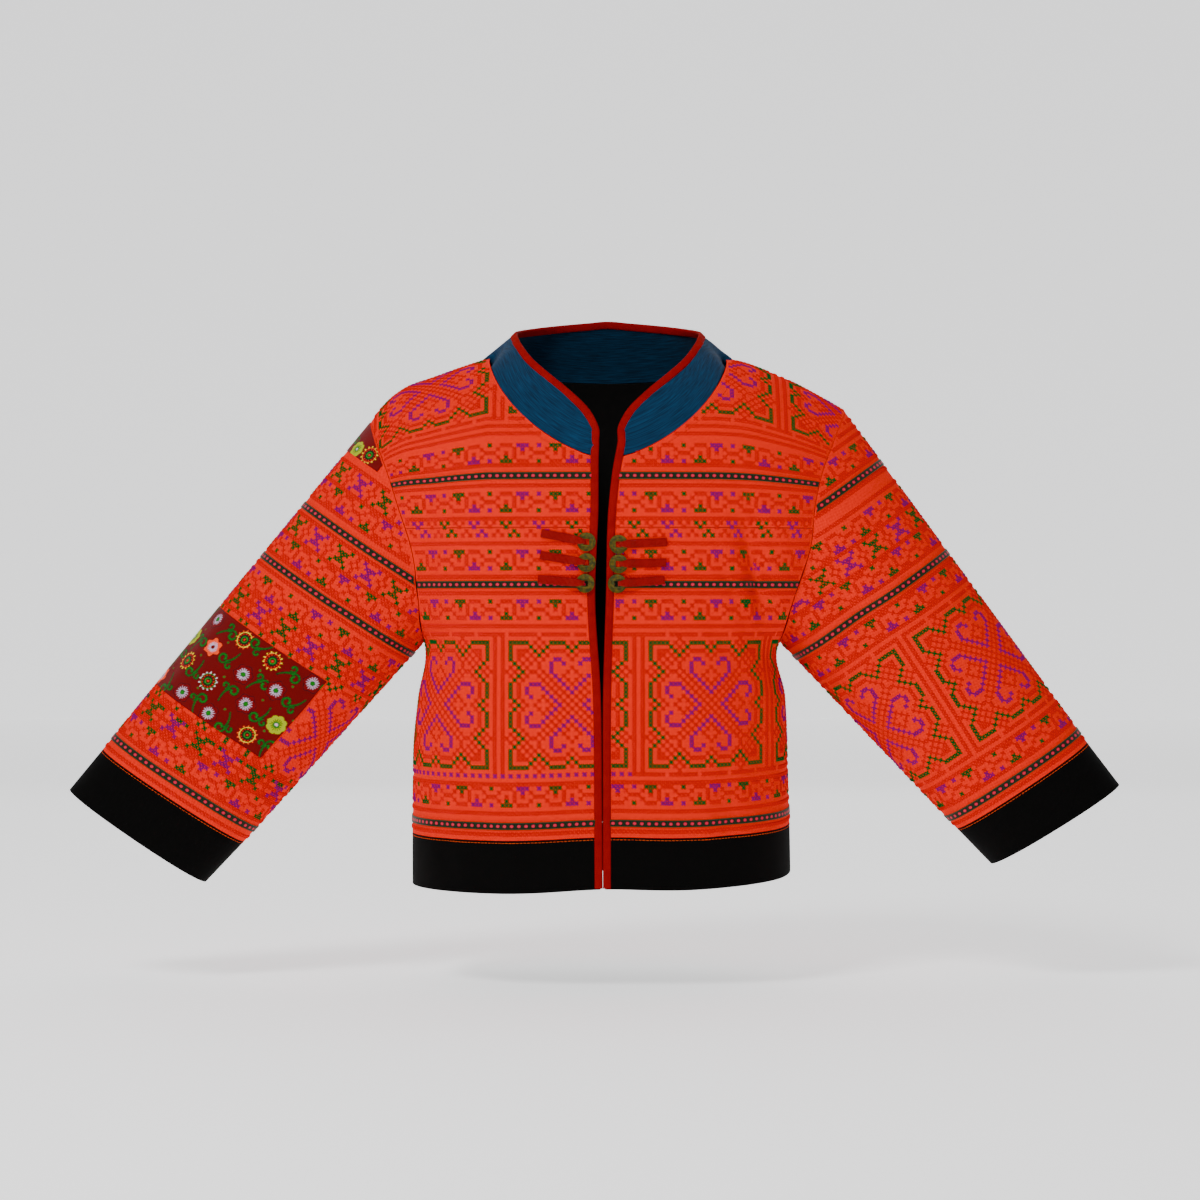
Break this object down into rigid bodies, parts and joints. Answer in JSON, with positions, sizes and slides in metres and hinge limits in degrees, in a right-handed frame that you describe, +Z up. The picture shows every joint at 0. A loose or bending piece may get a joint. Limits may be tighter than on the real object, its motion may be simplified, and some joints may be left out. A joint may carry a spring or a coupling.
{
  "type": "open-front embroidered jacket filled out with no wearer",
  "caption": "Short hollow jacket with a stand collar, wide three-quarter sleeves, cross-stitched panels, black bands and coins on straps down the open front.",
  "frame": {"origin": "middle of the neck opening, level with the neck points of the shoulders, where the wearer holds it up", "axes": "+X to the wearer's left and along the sleeves' spread, the front faces -Y, +Z up"},
  "size_m": [1.043, 0.2386, 0.5692],
  "materials": {
    "cross_stitch": "orange evenweave cotton covered in raised cross stitch",
    "lining": "plain black cotton",
    "black_band": "matt black twill",
    "indigo": "slubbed hand-woven indigo cotton",
    "binding": "red cotton bias binding",
    "ribbon": "narrow woven trim, pink ovals on black and green",
    "printed_patch": "maroon cotton printed with small flowers",
    "strap": "dark red cotton strap",
    "coin": "aged brass, darkened in the recesses"
  },
  "bodies": {
    "root": {"front_right_lower": "cross_stitch", "front_right_upper": "cross_stitch", "front_left_lower": "cross_stitch", "front_left_upper": "cross_stitch", "back": "cross_stitch", "back_lining": "lining", "hem_band_right": "black_band", "hem_band_left": "black_band", "hem_band_back": "black_band", "sleeve_right": "cross_stitch", "cuff_right": "black_band", "sleeve_left": "cross_stitch", "cuff_left": "black_band", "collar": "indigo", "edge_binding": "binding", "ribbon_front_right_1": "ribbon", "ribbon_front_left_1": "ribbon", "ribbon_back_1": "ribbon", "ribbon_sleeve_right_1": "ribbon", "ribbon_sleeve_left_1": "ribbon", "ribbon_front_right_2": "ribbon", "ribbon_front_left_2": "ribbon", "ribbon_back_2": "ribbon", "ribbon_sleeve_right_2": "ribbon", "ribbon_sleeve_left_2": "ribbon", "ribbon_front_right_3": "ribbon", "ribbon_front_left_3": "ribbon", "ribbon_back_3": "ribbon", "ribbon_sleeve_right_3": "ribbon", "ribbon_sleeve_left_3": "ribbon", "patch_forearm": "printed_patch", "patch_shoulder": "printed_patch", "strap_right_1": "strap", "coin_right_1": "coin", "strap_right_2": "strap", "coin_right_2": "coin", "strap_right_3": "strap", "coin_right_3": "coin", "strap_left_1": "strap", "coin_left_1": "coin", "strap_left_2": "strap", "coin_left_2": "coin", "strap_left_3": "strap", "coin_left_3": "coin"}
  },
  "joints": []
}
